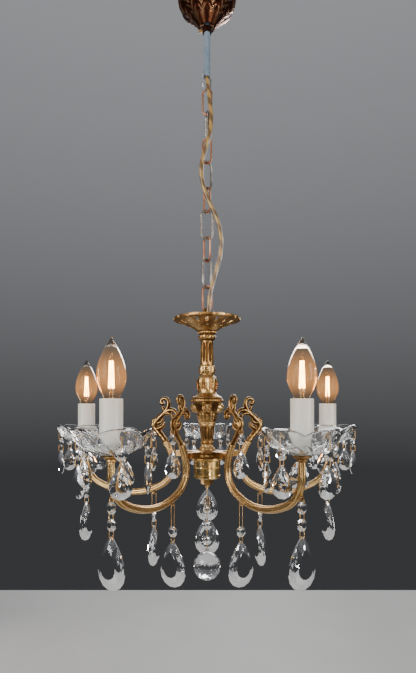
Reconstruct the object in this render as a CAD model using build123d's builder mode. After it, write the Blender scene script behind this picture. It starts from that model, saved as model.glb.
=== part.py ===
from build123d import *
import math
import os

# A five-arm brass chandelier with glass drip pans and cut crystal drops, hung from the
# ceiling on a tube, a wire bail and a decorative chain. Millimetres, +Z up. The origin is
# the centre of the ceiling bracket, on the ceiling; everything hangs below it.

# ---------------------------------------------------------------- driving dimensions
ARM_HEADINGS = (-122.5, -57.5, 17.0, 90.0, 163.0)    # the arms' directions, seen from above
ARM_REACH = 204.5                   # from the middle of the column to a candle's middle
CANOPY_R = 50.0
CANOPY_DROP = 68.0
CANOPY_WALL = 1.2
TUBE_R = 4.9
TUBE_BORE_R = 3.6
TUBE_LENGTH = 141.0
PLAIN_LINK = (40.0, 16.5, 1.4)      # outer length, outer width, wire radius
BEADED_LINK = (46.0, 20.0, 1.6)
LINK_TURNS = (-15, -80, -20, 40, -50, 12, -48, 45, -18)
PAN_R = 48.0                        # a glass pan, to the tips of its petals
PAN_DEPTH = 31.0
PETALS = 5
SLEEVE_R = 13.5
SLEEVE_HEIGHT = 62.0
BULB_R = 17.5
BULB_SHOWS = 70.7                   # from the sleeve's top to the bulb's tip
SMALL_DROP = (38.0, 26.0, 9.0)      # length, width, thickness
LARGE_DROP = (63.0, 41.0, 13.0)
BEAD_R = 7.0
BEAD_THICK = 7.0
BALL_R = 21.0

# ---------------------------------------------------------------- clearances
TOUCH = 0.1                         # between pieces that stay together
RUNNING = 0.3                       # between pieces that move against each other
LINK_GAP = 0.15                     # between links that hang in each other

# ---------------------------------------------------------------- smaller sizes
STRAP = (84.0, 14.0, 2.0)
SCREW_SPACING = 60.0
SCREW_HOLE_R = 2.25
NUT_R = 8.0
NUT_THICK = 4.0
COLLAR_R = 6.6
COLLAR_HEIGHT = 8.0
GRUB_R = 1.5
BAIL_WIRE_R = 1.2
BAIL_HALF_WIDTH = 8.3
BAIL_TURN = 45.0
BAIL_DROP = 24.2                    # from the pins to the bottom wire
BAIL_HOLE_UP = 3.0                  # above the tube's end
EYE_WIRE_R = 1.6
EYE_R = 6.6
EYE_TURN = 50.0
GALLERY_R = 50.0
GALLERY_DEPTH = 19.0
GALLERY_WALL = 2.0
ROD_R = 4.0
ROD_ROOM_R = 7.0                    # the space for the wires round the rod
FLEX_R = 3.0
FLEX_HOLE_R = 3.4
FLEX_HOLE_AT = (1.5, -8.9)
ARM_R = 5.0
EYE_STEM = 2.2                      # the short stalk of the eye under an arm's outer bend
LUG_R = 1.5                         # the hole in an eye
LUG_WIRE_R = 0.8
PIN_R = 0.5                         # the brass wire that joins the crystals
PIN_HALF_WIDTH = 3.4
PIN_HOLE_R = 1.0
HOLE_IN = 2.2                       # a crystal's hole, in from its edge
BEAD_STEP = 2 * (BEAD_R - HOLE_IN)  # between a bead's two holes
STRAND_AT = 86.0                    # the arm strands' distance from the middle
SCROLL_EYE_AT = 86.0
PAN_TURNS = (-65.0, -132.0, -36.0, -54.0, -144.0)    # the direction of one notch of each pan
CENTRE_HEADING = -90.0
GLASS = 3.6
NIPPLE_R = 4.0
NIPPLE_UP = 12.0                    # the threaded nipple, above the pan's bottom
CUP_DEPTH = 7.0                     # the brass cup under a pan

os.makedirs("parts", exist_ok=True)


def write(name, builder):
    """Labels a finished piece and writes it."""
    builder.part.label = name
    export_step(builder.part, f"parts/{name}.step")
    print(f"{name}: {len(builder.part.solids())} solids, {builder.part.volume:.0f} mm3")


def turned(x, y, z, heading=0.0):
    """A place that is turned about the upright axis, its X axis pointing along heading."""
    a = math.radians(heading)
    return Location((x * math.cos(a) - y * math.sin(a), x * math.sin(a) + y * math.cos(a), z),
                    (0, 0, heading))


def spun(points, bore=0.0):
    """A turned piece from its outline's (radius, height) points, with a hole through it."""
    outline = [(bore, points[0][1]), *points, (bore, points[-1][1])]
    with BuildPart() as piece:
        with BuildSketch(Plane.XZ):
            with BuildLine():
                Polyline(*outline, close=True)
            make_face()
        revolve(axis=Axis.Z)
    return piece


# ---------------------------------------------------------------- heights, from the ceiling down
TUBE_TOP = -1.0
TUBE_END = TUBE_TOP - TUBE_LENGTH
PIN_Z = TUBE_END + BAIL_HOLE_UP
BAIL_BOTTOM = PIN_Z - BAIL_DROP     # the middle of the bail's bottom wire
LINK_SIZES = [PLAIN_LINK if i % 2 == 0 else BEADED_LINK for i in range(len(LINK_TURNS))]
link_tops = []
below, below_r, gap = BAIL_BOTTOM, BAIL_WIRE_R, RUNNING
for length, width, wire in LINK_SIZES:
    link_tops.append(below + below_r + wire + gap)
    below = link_tops[-1] - (length - 2 * wire)
    below_r, gap = wire, LINK_GAP
EYE_Z = below + below_r + EYE_WIRE_R + LINK_GAP - EYE_R
GALLERY_TOP = EYE_Z - EYE_R - EYE_WIRE_R
GALLERY_FLOOR = GALLERY_TOP - GALLERY_DEPTH
CAPITAL = GALLERY_FLOOR             # each is the top of the piece of that name
COLUMN = CAPITAL - 15.0
URN = COLUMN - 86.5
VASE = URN - 37.5
SPIDER = VASE - 40.5
BAND = SPIDER - 8.5
NUT = BAND - 33.0
NUT_END = NUT - 8.0
PAN_BOTTOM = SPIDER + 6.5
PAN_TOP = PAN_BOTTOM + PAN_DEPTH
SLEEVE_TOP = PAN_BOTTOM + GLASS + TOUCH + SLEEVE_HEIGHT
BULB_TIP = SLEEVE_TOP + BULB_SHOWS

# ---------------------------------------------------------------- ceiling fixing
with BuildPart() as ceiling_bracket:
    with BuildSketch():
        SlotOverall(STRAP[0], STRAP[1])
        Circle(TUBE_R + TOUCH, mode=Mode.SUBTRACT)
        with GridLocations(SCREW_SPACING, 0, 2, 1):
            Circle(SCREW_HOLE_R, mode=Mode.SUBTRACT)
    extrude(amount=-STRAP[2])
write("ceiling_bracket", ceiling_bracket)

with BuildPart() as hanging_tube:
    with BuildSketch(Plane.XY.offset(TUBE_TOP)):
        Circle(TUBE_R)
    extrude(amount=-TUBE_LENGTH)
    with BuildSketch(Plane.XY.offset(-STRAP[2] - TOUCH)):
        RegularPolygon(NUT_R, 6)
    extrude(amount=-NUT_THICK)
    with Locations(turned(0, 0, PIN_Z, BAIL_TURN) * Location((0, 0, 0), (0, 90, 0))):
        Cylinder(BAIL_WIRE_R + 0.2, 4 * TUBE_R, mode=Mode.SUBTRACT)
    with BuildSketch(Plane.XY):
        Circle(TUBE_BORE_R)
    extrude(amount=TUBE_END - 1, mode=Mode.SUBTRACT)
write("hanging_tube", hanging_tube)

with BuildPart() as terminal_block:
    with BuildSketch(Plane.XY.offset(-STRAP[2] - TOUCH)):
        with Locations((24, 0)):
            RectangleRounded(18, 12, 2)
    extrude(amount=-14)
    with BuildSketch(Plane.XY.offset(-STRAP[2] - TOUCH - 14)):
        with Locations((24, 0)):
            with GridLocations(9, 0, 2, 1):
                Circle(1.6)
    extrude(amount=8, mode=Mode.SUBTRACT)
write("terminal_block", terminal_block)

with BuildPart() as bail:
    inner = TUBE_BORE_R + 0.4
    with BuildLine(Plane.XZ):
        FilletPolyline(
            (-inner, PIN_Z), (-BAIL_HALF_WIDTH, PIN_Z), (-BAIL_HALF_WIDTH, BAIL_BOTTOM),
            (BAIL_HALF_WIDTH, BAIL_BOTTOM), (BAIL_HALF_WIDTH, PIN_Z), (inner, PIN_Z),
            radius=[1.6, BAIL_HALF_WIDTH - 0.2, BAIL_HALF_WIDTH - 0.2, 1.6],
        )
    with BuildSketch(Plane(origin=(-inner, 0, PIN_Z), z_dir=(-1, 0, 0))):
        Circle(BAIL_WIRE_R)
    sweep()
with BuildPart() as bail_placed:
    with Locations(turned(0, 0, 0, BAIL_TURN)):
        add(bail.part)
write("bail", bail_placed)

# ---------------------------------------------------------------- canopy
with BuildPart() as canopy:
    with BuildSketch(Plane.XZ):
        with BuildLine():
            outer = Spline(
                (CANOPY_R, 0), (CANOPY_R - 4.5, -0.2 * CANOPY_DROP),
                (CANOPY_R - 6.3, -0.38 * CANOPY_DROP), (CANOPY_R - 9.5, -0.56 * CANOPY_DROP),
                (CANOPY_R - 21.5, -0.72 * CANOPY_DROP), (CANOPY_R - 32, -0.88 * CANOPY_DROP),
                (COLLAR_R + 5, -CANOPY_DROP),
            )
            Polyline(outer @ 1, (0, -CANOPY_DROP), (0, 0), (CANOPY_R, 0))
        make_face()
    revolve(axis=Axis.Z)
    offset(amount=-CANOPY_WALL, openings=canopy.faces().sort_by(Axis.Z)[-1])
    with Locations((0, 0, -CANOPY_DROP)):
        Cylinder(TUBE_R + RUNNING, 10, mode=Mode.SUBTRACT)
write("canopy", canopy)

with BuildPart() as canopy_collar:
    with BuildSketch(Plane.XY.offset(-CANOPY_DROP - TOUCH)):
        Circle(COLLAR_R)
        Circle(TUBE_R + RUNNING, mode=Mode.SUBTRACT)
    extrude(amount=-COLLAR_HEIGHT)
    chamfer(canopy_collar.edges().filter_by(GeomType.CIRCLE).group_by(Axis.Z)[0][-1], 0.6)
    with Locations(Location((-COLLAR_R, 0, -CANOPY_DROP - TOUCH - COLLAR_HEIGHT / 2), (0, 90, 0))):
        Cylinder(GRUB_R + TOUCH, 2 * (COLLAR_R - TUBE_R), mode=Mode.SUBTRACT)
write("canopy_collar", canopy_collar)

with BuildPart() as grub_screw:
    grub_z = -CANOPY_DROP - TOUCH - COLLAR_HEIGHT / 2
    with BuildSketch(Plane(origin=(-TUBE_R - RUNNING, 0, grub_z), z_dir=(-1, 0, 0))):
        Circle(GRUB_R)
    extrude(amount=4.0)
    with BuildSketch(Plane(origin=(-TUBE_R - RUNNING - 4.0, 0, grub_z), z_dir=(-1, 0, 0))):
        Circle(2.4)
    extrude(amount=3.0)
    with BuildSketch(Plane(origin=(-TUBE_R - RUNNING - 7.0, 0, grub_z), z_dir=(-1, 0, 0))):
        Rectangle(0.8, 6)
    extrude(amount=-1.0, mode=Mode.SUBTRACT)
write("grub_screw", grub_screw)


# ---------------------------------------------------------------- chain
def chain_link(size, beaded):
    """A stadium of round wire standing in the XZ plane; its top wire's middle is at the origin."""
    length, width, wire = size
    bend = width / 2 - wire
    run = length - width
    with BuildPart() as link:
        with BuildLine(Plane.XZ):
            Line((-bend, -bend - run), (-bend, -bend))
            ThreePointArc((-bend, -bend), (0, 0), (bend, -bend))
            Line((bend, -bend), (bend, -bend - run))
            ThreePointArc((bend, -bend - run), (0, -2 * bend - run), (-bend, -bend - run))
        with BuildSketch(Plane(origin=(-bend, 0, -bend - run), z_dir=(0, 0, 1))):
            Circle(wire)
        sweep()
        if beaded:
            with Locations((0, 0, -bend - run / 2)):
                with GridLocations(2 * bend, 0, 2, 1):
                    for k in (-1, 0, 1):
                        with Locations((0, 0, k * run / 3)):
                            Sphere(1.3 * wire)
    return link.part


links = {"chain_plain_links": PLAIN_LINK, "chain_beaded_links": BEADED_LINK}
for node, size in links.items():
    pattern = chain_link(size, size is BEADED_LINK)
    with BuildPart() as chain:
        for top, own, turn in zip(link_tops, LINK_SIZES, LINK_TURNS):
            if own is size:
                with Locations(turned(0, 0, top, turn)):
                    add(pattern)
    write(node, chain)

with BuildPart() as crown_eye:
    with Locations(turned(0, 0, EYE_Z, EYE_TURN) * Location((0, 0, 0), (90, 0, 0))):
        Torus(EYE_R, EYE_WIRE_R)
    with BuildSketch(Plane.XY.offset(EYE_Z - EYE_R - EYE_WIRE_R / 2)):
        Circle(ROD_R)
    extrude(amount=-(EYE_Z - EYE_R - GALLERY_FLOOR) - 2)
write("crown_eye", crown_eye)

# ---------------------------------------------------------------- gallery and column
with BuildPart() as gallery:
    with BuildSketch(Plane.XZ):
        with BuildLine():
            Polyline(
                (ROD_R + TOUCH, GALLERY_FLOOR + TOUCH), (15, GALLERY_FLOOR + TOUCH),
                (22, GALLERY_FLOOR + 5), (GALLERY_R - 8, GALLERY_TOP - 5),
                (GALLERY_R, GALLERY_TOP - 3), (GALLERY_R, GALLERY_TOP),
                (GALLERY_R - 9, GALLERY_TOP - 2.5), (22, GALLERY_FLOOR + 7.4),
                (14, GALLERY_FLOOR + GALLERY_WALL + 0.6),
                (ROD_R + TOUCH, GALLERY_FLOOR + GALLERY_WALL + 0.6),
                close=True,
            )
        make_face()
    revolve(axis=Axis.Z)
    with BuildSketch(Plane.XY.offset(GALLERY_TOP + 1)):
        with PolarLocations(37, 16):
            SlotOverall(11, 5)
        with PolarLocations(25, 12):
            Circle(2.4)
        with PolarLocations(GALLERY_R + 1.6, 16, start_angle=11.25):
            Circle(3.2)
        with Locations(FLEX_HOLE_AT):
            Circle(FLEX_HOLE_R)
    extrude(amount=-GALLERY_DEPTH - 4, mode=Mode.SUBTRACT)
write("gallery", gallery)

capital = spun([(13.4, CAPITAL), (13.4, CAPITAL - 4), (12.2, CAPITAL - 6), (13.0, CAPITAL - 8),
                (12.6, CAPITAL - 11), (9.9, COLUMN + TOUCH)], ROD_R + TOUCH)
with BuildPart() as capital_bored:
    add(capital.part)
    with BuildSketch(Plane.XY.offset(COLUMN)):
        Circle(ROD_ROOM_R)
    extrude(amount=CAPITAL - COLUMN - 3, mode=Mode.SUBTRACT)
    with BuildSketch(Plane.XY.offset(CAPITAL + 1)):
        with Locations(FLEX_HOLE_AT):
            Circle(FLEX_HOLE_R)
    extrude(amount=-7, mode=Mode.SUBTRACT)
write("capital", capital_bored)

column_shape = spun([
    (9.6, COLUMN), (9.8, COLUMN - 10), (10.3, COLUMN - 30), (10.6, COLUMN - 36), (11.6, COLUMN - 38),
    (11.3, COLUMN - 48), (10.4, COLUMN - 50), (13.6, COLUMN - 56), (14.6, COLUMN - 61),
    (14.2, COLUMN - 67), (13.8, COLUMN - 75), (15.5, COLUMN - 80), (22.5, COLUMN - 85),
    (22.5, URN + TOUCH),
], ROD_ROOM_R)
with BuildPart() as column:
    add(column_shape.part)
    with Locations((0, 0, COLUMN - 16)):
        with PolarLocations(11.0, 12):
            Cylinder(1.4, 34, mode=Mode.SUBTRACT)
write("column", column)

urn_shape = spun([
    (23.5, URN), (24.7, URN - 1.5), (24.2, URN - 4.5), (19, URN - 6), (20, URN - 9), (17.5, URN - 15),
    (15, URN - 26), (13.2, URN - 34), (11.8, URN - 35), (11.8, VASE + TOUCH),
], ROD_ROOM_R)
with BuildPart() as urn:
    add(urn_shape.part)
    with PolarLocations(20.5, 4):
        with Locations(Location((0, 0, URN - 10), (90, 0, 0))):
            Cylinder(4.6, 9)
        with Locations(Location((-2.0, 0, URN - 17), (90, 0, 0))):
            Cylinder(3.0, 7)
write("urn", urn)

lower_vase = spun([
    (11.8, VASE), (11.8, VASE - 3), (11.3, VASE - 4), (10.6, VASE - 14), (8.9, VASE - 25.5),
    (9.6, VASE - 26.5), (9.6, VASE - 29), (8.5, VASE - 30), (9.5, VASE - 34), (14, VASE - 40),
    (14, SPIDER + TOUCH),
], ROD_ROOM_R)
write("lower_vase", lower_vase)

with BuildPart() as spider:
    with BuildSketch(Plane.XY.offset(SPIDER)):
        Circle(22)
    extrude(amount=-(SPIDER - BAND))
    for heading in ARM_HEADINGS:
        with BuildSketch(Plane.XY.offset(SPIDER)):
            with Locations(turned(34, 0, 0, heading)):
                Rectangle(30, 9)
        extrude(amount=-(SPIDER - BAND))
    with BuildSketch(Plane.XY.offset(SPIDER)):
        Circle(ROD_ROOM_R)
    extrude(amount=-(SPIDER - BAND), mode=Mode.SUBTRACT)
    fillet(spider.edges().filter_by(Axis.Z).group_by(SortBy.DISTANCE)[-1], 1.0)
write("spider", spider)

hub_cup = spun([
    (22, BAND - TOUCH), (23.7, BAND - 2), (23.7, BAND - 5), (20, BAND - 6.2), (20, BAND - 15),
    (20.4, BAND - 16), (19.4, BAND - 17), (19.0, BAND - 27), (20, BAND - 28), (20, BAND - 31),
    (16, NUT + TOUCH),
], ROD_R + TOUCH)
write("hub_cup", hub_cup)

with BuildPart() as bottom_nut:
    with BuildSketch(Plane.XY.offset(NUT)):
        RegularPolygon(9.0, 6)
    extrude(amount=NUT_END - NUT)
    with Locations(Location((0, 0, NUT_END - LUG_R), (90, 0, 0))):
        Torus(LUG_R + LUG_WIRE_R, LUG_WIRE_R)
    with BuildSketch(Plane.XY.offset(NUT + 1)):
        Circle(ROD_R + TOUCH)
    extrude(amount=-6, mode=Mode.SUBTRACT)
write("bottom_nut", bottom_nut)

with BuildPart() as centre_rod:
    with BuildSketch(Plane.XY.offset(CAPITAL - 3)):
        Circle(ROD_R)
    extrude(amount=-(CAPITAL - 3 - NUT + 4))
write("centre_rod", centre_rod)

# ---------------------------------------------------------------- one arm, along +X
ARM_DROP = 66.8                     # from the spider's top to the lowest point of the middle line
FOOT_AT = 54.5                      # where the arm runs straight down beside the spider
FOOT_BEND = 36.0                    # the radii of its bends, from the spider outwards
RISE_BEND = 130.0
END_BEND = 42.536
SWEEP_TURN = math.radians(30)       # how far the long sweep under the spider turns
RISE_TURN = math.radians(25)
low = SPIDER - ARM_DROP
LOW_AT = ARM_REACH - RISE_BEND * math.sin(RISE_TURN) - END_BEND * (1 - math.sin(RISE_TURN))
sweep_from = FOOT_AT + FOOT_BEND * (1 - math.sin(SWEEP_TURN))
SWEEP_BEND = (LOW_AT - sweep_from) / math.sin(SWEEP_TURN)
rise = low + RISE_BEND * (1 - math.cos(RISE_TURN))
END_Z = rise + END_BEND * math.cos(RISE_TURN)
first_end = (sweep_from, low + SWEEP_BEND * (1 - math.cos(SWEEP_TURN)))
FOOT_Z = first_end[1] + FOOT_BEND * math.cos(SWEEP_TURN)

# the eyes that the strands hang from, clear below the arm's own metal
beyond = ARM_R + LUG_R + 0.4
CANDLE_EYE_Z = END_Z - math.sqrt((END_BEND + beyond) ** 2 - END_BEND ** 2) - EYE_STEM
ARM_EYE_Z = low + SWEEP_BEND - math.sqrt((SWEEP_BEND + beyond) ** 2 - (LOW_AT - STRAND_AT) ** 2)
SCROLL_WIRE = 2.6
SCROLL_ELBOW = 37.4                 # the middle of the scroll's outer bend, above the spider
SCROLL_EYE_Z = SPIDER + SCROLL_ELBOW - SCROLL_WIRE - LUG_R - RUNNING
EYE_SAG = LUG_R - PIN_R - RUNNING   # a loop's wire rests this far below its eye's middle

with BuildPart() as arm:
    with BuildLine(Plane.XZ) as arm_line:
        Polyline((66.5, SPIDER + 13), (59, SPIDER - 1.5), (FOOT_AT, FOOT_Z + 4), (FOOT_AT, FOOT_Z))
        RadiusArc((FOOT_AT, FOOT_Z), first_end, -FOOT_BEND)
        RadiusArc(first_end, (LOW_AT, low), -SWEEP_BEND)
        bend_start = (LOW_AT + RISE_BEND * math.sin(RISE_TURN), rise)
        RadiusArc((LOW_AT, low), bend_start, -RISE_BEND)
        RadiusArc(bend_start, (ARM_REACH, END_Z), -END_BEND)
        Line((ARM_REACH, END_Z), (ARM_REACH, PAN_BOTTOM - CUP_DEPTH))
    with BuildSketch(Plane(origin=(66.5, 0, SPIDER + 13), z_dir=arm_line.wire() % 0)):
        Circle(ARM_R)
    sweep(transition=Transition.ROUND)
    with BuildSketch(Plane.XY.offset(PAN_BOTTOM - CUP_DEPTH)):
        with Locations((ARM_REACH, 0)):
            Circle(NIPPLE_R)
    extrude(amount=CUP_DEPTH + NIPPLE_UP)
    # the eyes that the two strands hang from, at the outer bend and under the long sweep
    with Locations((ARM_REACH, 0, CANDLE_EYE_Z), (STRAND_AT, 0, ARM_EYE_Z)):
        Torus(LUG_R + LUG_WIRE_R, LUG_WIRE_R, rotation=(0, 90, 0))
    with BuildSketch(Plane.XY.offset(CANDLE_EYE_Z + LUG_R + LUG_WIRE_R)):
        with Locations((ARM_REACH, 0)):
            Circle(1.3)
    extrude(amount=EYE_STEM + 2)

# ---------------------------------------------------------------- one scroll, along +X
arm_top = Plane(origin=(66.5, 0, SPIDER + 13), z_dir=(66.5 - 59, 0, 13 + 1.5))
with BuildPart() as scroll:
    with BuildSketch(arm_top.offset(TOUCH)):
        Circle(ARM_R + 0.8)
    extrude(amount=4.5)
    with BuildLine(Plane.XZ) as stem:
        FilletPolyline(
            (67.6, SPIDER + 15.1), (73.4, SPIDER + 23), (85.5, SPIDER + 38.5),
            (76.6, SPIDER + 47), (66.5, SPIDER + 59), (61, SPIDER + 70), (65.6, SPIDER + 78.5),
            (72, SPIDER + 75.5), radius=[6, 4.5, 8, 10, 8, 3.2],
        )
    with BuildSketch(Plane(origin=(67.6, 0, SPIDER + 15.1), z_dir=stem.wire() % 0)):
        Circle(SCROLL_WIRE)
    sweep()
    with BuildLine(Plane.XZ) as branch:
        FilletPolyline((70, SPIDER + 56.5), (60, SPIDER + 60), (51, SPIDER + 57),
                       (52.5, SPIDER + 50.5), radius=[6, 3.2])
    with BuildSketch(Plane(origin=(70, 0, SPIDER + 56.5), z_dir=branch.wire() % 0)):
        Circle(SCROLL_WIRE - 0.5)
    sweep()
    with Locations((SCROLL_EYE_AT, 0, SCROLL_EYE_Z)):
        Torus(LUG_R + LUG_WIRE_R, LUG_WIRE_R, rotation=(90, 0, 0))

# ---------------------------------------------------------------- what stands on an arm's end
drip_cup = spun([(5.6, PAN_BOTTOM - CUP_DEPTH), (6.4, PAN_BOTTOM - 6), (6.0, PAN_BOTTOM - 4.5),
                 (8.5, PAN_BOTTOM - 3), (11, PAN_BOTTOM - 1.2), (11, PAN_BOTTOM - TOUCH)],
                NIPPLE_R + TOUCH)
seat = PAN_BOTTOM + GLASS + TOUCH
LAMP_TOP = SLEEVE_TOP - 8
with BuildPart() as lampholder:
    with BuildSketch(Plane.XY.offset(seat)):
        Circle(11.4)
    extrude(amount=LAMP_TOP - seat)
    with BuildSketch(Plane.XY.offset(LAMP_TOP)):
        Circle(7.3)
    extrude(amount=-24, mode=Mode.SUBTRACT)
    with BuildSketch(Plane.XY.offset(seat)):
        Circle(NIPPLE_R + TOUCH)
    extrude(amount=10, mode=Mode.SUBTRACT)
with BuildPart() as candle:
    with BuildSketch(Plane.XY.offset(seat)):
        Circle(SLEEVE_R)
        Circle(SLEEVE_R - 1.3, mode=Mode.SUBTRACT)
    extrude(amount=SLEEVE_HEIGHT)
    fillet(candle.edges().group_by(Axis.Z)[-1].sort_by(SortBy.RADIUS)[-1], 0.9)
with BuildPart() as bulb:
    with BuildSketch(Plane.XZ):
        with BuildLine():
            Polyline((0, LAMP_TOP - 20), (6.9, LAMP_TOP - 20), (6.9, LAMP_TOP - 1), (7.2, LAMP_TOP - 1))
            Spline((7.2, LAMP_TOP - 1), (9.6, SLEEVE_TOP + 1), (BULB_R, SLEEVE_TOP + 26),
                   (0.75 * BULB_R, SLEEVE_TOP + 47), (0.3 * BULB_R, SLEEVE_TOP + 63), (0, BULB_TIP),
                   tangents=[(0.2, 1), (-1, 0.6)])
            Line((0, BULB_TIP), (0, LAMP_TOP - 20))
        make_face()
    revolve(axis=Axis.Z)

NOTCH = 8.0
slope = 11 / (0.645 * PAN_DEPTH)
with BuildPart() as pan:
    with BuildSketch(Plane.XZ):
        with BuildLine():
            Polyline(
                (NIPPLE_R + 1.5, PAN_BOTTOM), (SLEEVE_R, PAN_BOTTOM),
                (PAN_R - 23, PAN_TOP - 0.87 * PAN_DEPTH),
                (PAN_R - 11, PAN_TOP - 0.645 * PAN_DEPTH), (PAN_R, PAN_TOP), (PAN_R - GLASS, PAN_TOP),
                (PAN_R - 11 - 0.72 * GLASS, PAN_TOP - 0.645 * PAN_DEPTH + 0.7 * GLASS),
                (PAN_R - 23.7, PAN_TOP - 0.87 * PAN_DEPTH + GLASS),
                (SLEEVE_R + 0.8, PAN_BOTTOM + GLASS), (NIPPLE_R + 1.5, PAN_BOTTOM + GLASS),
                close=True,
            )
        make_face()
    revolve(axis=Axis.Z)
    with Locations((0, 0, PAN_TOP)):
        with PolarLocations(PAN_R - 4, PETALS):
            Cylinder(NOTCH, 24, rotation=(0, 90, 0), mode=Mode.SUBTRACT)


# ---------------------------------------------------------------- crystals and their pins
def cut_glass(outline, length, thickness):
    """Thin at both ends and thickest in between; it hangs from the hole at the origin."""
    top, bottom, end = HOLE_IN, HOLE_IN - length, 1.6
    belly = HOLE_IN - 0.45 * length
    with BuildPart() as glass:
        with BuildSketch(Plane.YZ):
            add(outline)
        extrude(amount=thickness / 2, both=True)
        with BuildSketch(Plane.XZ):
            with BuildLine():
                Polyline((-end, top), (end, top), (thickness / 2, belly), (end, bottom),
                         (-end, bottom), (-thickness / 2, belly), close=True)
            make_face()
        extrude(amount=length, both=True, mode=Mode.INTERSECT)
        Cylinder(PIN_HOLE_R, thickness, rotation=(0, 90, 0), mode=Mode.SUBTRACT)
    return glass.part


def pear_drop(length, width, thickness):
    """A pear-shaped drop."""
    with BuildSketch() as outline:
        with Locations((0, HOLE_IN - 3.4)):
            Circle(3.4)
        with Locations((0, HOLE_IN - length + width / 2)):
            Circle(width / 2)
        make_hull()
    return cut_glass(outline.sketch, length, thickness)


with BuildSketch() as octagon:
    with Locations((0, HOLE_IN - BEAD_R)):
        RegularPolygon(BEAD_R, 8, major_radius=False, rotation=22.5)
with BuildPart() as bead:
    add(cut_glass(octagon.sketch, 2 * BEAD_R, BEAD_THICK))
    with Locations((0, 0, -BEAD_STEP)):
        Cylinder(PIN_HOLE_R, BEAD_THICK, rotation=(0, 90, 0), mode=Mode.SUBTRACT)
with BuildPart() as ball:
    with Locations((0, 0, -BALL_R - 3)):
        Sphere(BALL_R)
    with Locations((0, 0, -1.5)):
        Box(4.2, 6, 8)
    Cylinder(PIN_HOLE_R, 6, rotation=(0, 90, 0), mode=Mode.SUBTRACT)
small_drop = pear_drop(*SMALL_DROP)
large_drop = pear_drop(*LARGE_DROP)


def bent_pin(points, corner):
    """Brass wire bent in the XZ plane through the points."""
    with BuildPart() as pin:
        with BuildLine(Plane.XZ) as line:
            FilletPolyline(*points, radius=corner)
        with BuildSketch(Plane(origin=line.wire() @ 0, z_dir=line.wire() % 0)):
            Circle(PIN_R)
        sweep()
    return pin.part


def pin_loop(span):
    """A loop of wire from one hole, at the origin, to the next one, span below it."""
    w = PIN_HALF_WIDTH
    return bent_pin([(0.15, 0), (w, 0), (w, -span), (-w, -span), (-w, 0), (-0.15, 0)], 1.2)


def strung(pieces, top, across=0):
    """Hangs loops and crystals on each other from the height top: a list of (part, place)."""
    placed, z = [], top
    for piece in pieces:
        if piece == "turn":
            z, across = z + 2 * PIN_R + RUNNING, 90 - across
        elif isinstance(piece, float):
            placed.append((pin_loop(piece), turned(0, 0, z, across)))
            z -= piece
        else:
            placed.append((piece, Location((0, 0, z))))
            z -= BEAD_STEP
    return placed


def place_all(pieces, location):
    """Adds each piece to the part being built, at its own place from location."""
    for piece, own in pieces:
        with Locations(location * own):
            add(piece)


LOOP = LUG_R + LUG_WIRE_R + HOLE_IN + 0.3           # the shortest loop, from an eye to a crystal
candle_strand = strung([LOOP, bead.part, 10.0, bead.part, 9.9, large_drop], CANDLE_EYE_Z - EYE_SAG)
arm_strand = strung([32.3, bead.part, 9.4, large_drop], ARM_EYE_Z - EYE_SAG)
centre_strand = strung([19.2, "turn", 19.2, "turn", 19.2, bead.part, 13.0, bead.part, 9.6, ball.part],
                       NUT_END - LUG_R - EYE_SAG)
scroll_strand = strung([4.4, "turn", 4.3, bead.part, 12.5, small_drop], SCROLL_EYE_Z - EYE_SAG, 90)

# a pan's drops hang from hooks over its notches
edge = PAN_TOP - NOTCH
hook_in = PAN_R - GLASS - (NOTCH + 2.2) * slope - 0.7
hook_out = PAN_R - NOTCH * slope + PIN_R + 1.2
bead_z = PAN_TOP - 21.7
hook = bent_pin([(hook_in, edge - 1.4), (hook_in, edge + 1.2), (hook_out, edge + 1.2),
                 (hook_out, bead_z), (hook_out - 2 * PIN_HALF_WIDTH, bead_z),
                 (hook_out - 2 * PIN_HALF_WIDTH, bead_z + 1.6)], 0.8)
pan_strand = strung([bead.part, 8.9, small_drop], bead_z)
pan_pins = [(hook, Location((0, 0, 0))),
            (pin_loop(8.9), Location((hook_out - PIN_HALF_WIDTH, 0, bead_z - BEAD_STEP)))]
pan_glass = [(piece, Location((hook_out - PIN_HALF_WIDTH, 0, 0)) * own)
             for piece, own in pan_strand if piece in (bead.part, small_drop)]

# ---------------------------------------------------------------- the five arms and all they carry
for number, heading in enumerate(ARM_HEADINGS, 1):
    at_end = turned(ARM_REACH, 0, 0, heading)
    single = {
        f"arm_{number}": (arm, turned(0, 0, 0, heading)),
        f"scroll_{number}": (scroll, turned(0, 0, 0, heading)),
        f"pan_{number}": (pan, at_end * turned(0, 0, 0, PAN_TURNS[number - 1] - heading)),
        f"candle_{number}": (candle, at_end),
        f"bulb_{number}": (bulb, at_end),
    }
    for node, (shape, place) in single.items():
        with BuildPart() as piece:
            with Locations(place):
                add(shape.part)
        write(node, piece)
    for node, pieces, reach in (("candle_strand", candle_strand, ARM_REACH),
                                ("arm_strand", arm_strand, STRAND_AT)):
        with BuildPart() as strand:
            place_all(pieces, turned(reach, 0, 0, heading))
        write(f"{node}_{number}", strand)

with BuildPart() as strand:
    place_all(centre_strand, turned(0, 0, 0, CENTRE_HEADING))
write("centre_strand", strand)

with BuildPart() as drip_cups:
    for heading in ARM_HEADINGS:
        with Locations(turned(ARM_REACH, 0, 0, heading)):
            add(drip_cup.part)
write("drip_cups", drip_cups)

with BuildPart() as lampholders:
    for heading in ARM_HEADINGS:
        with Locations(turned(ARM_REACH, 0, 0, heading)):
            add(lampholder.part)
write("lampholders", lampholders)

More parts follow.
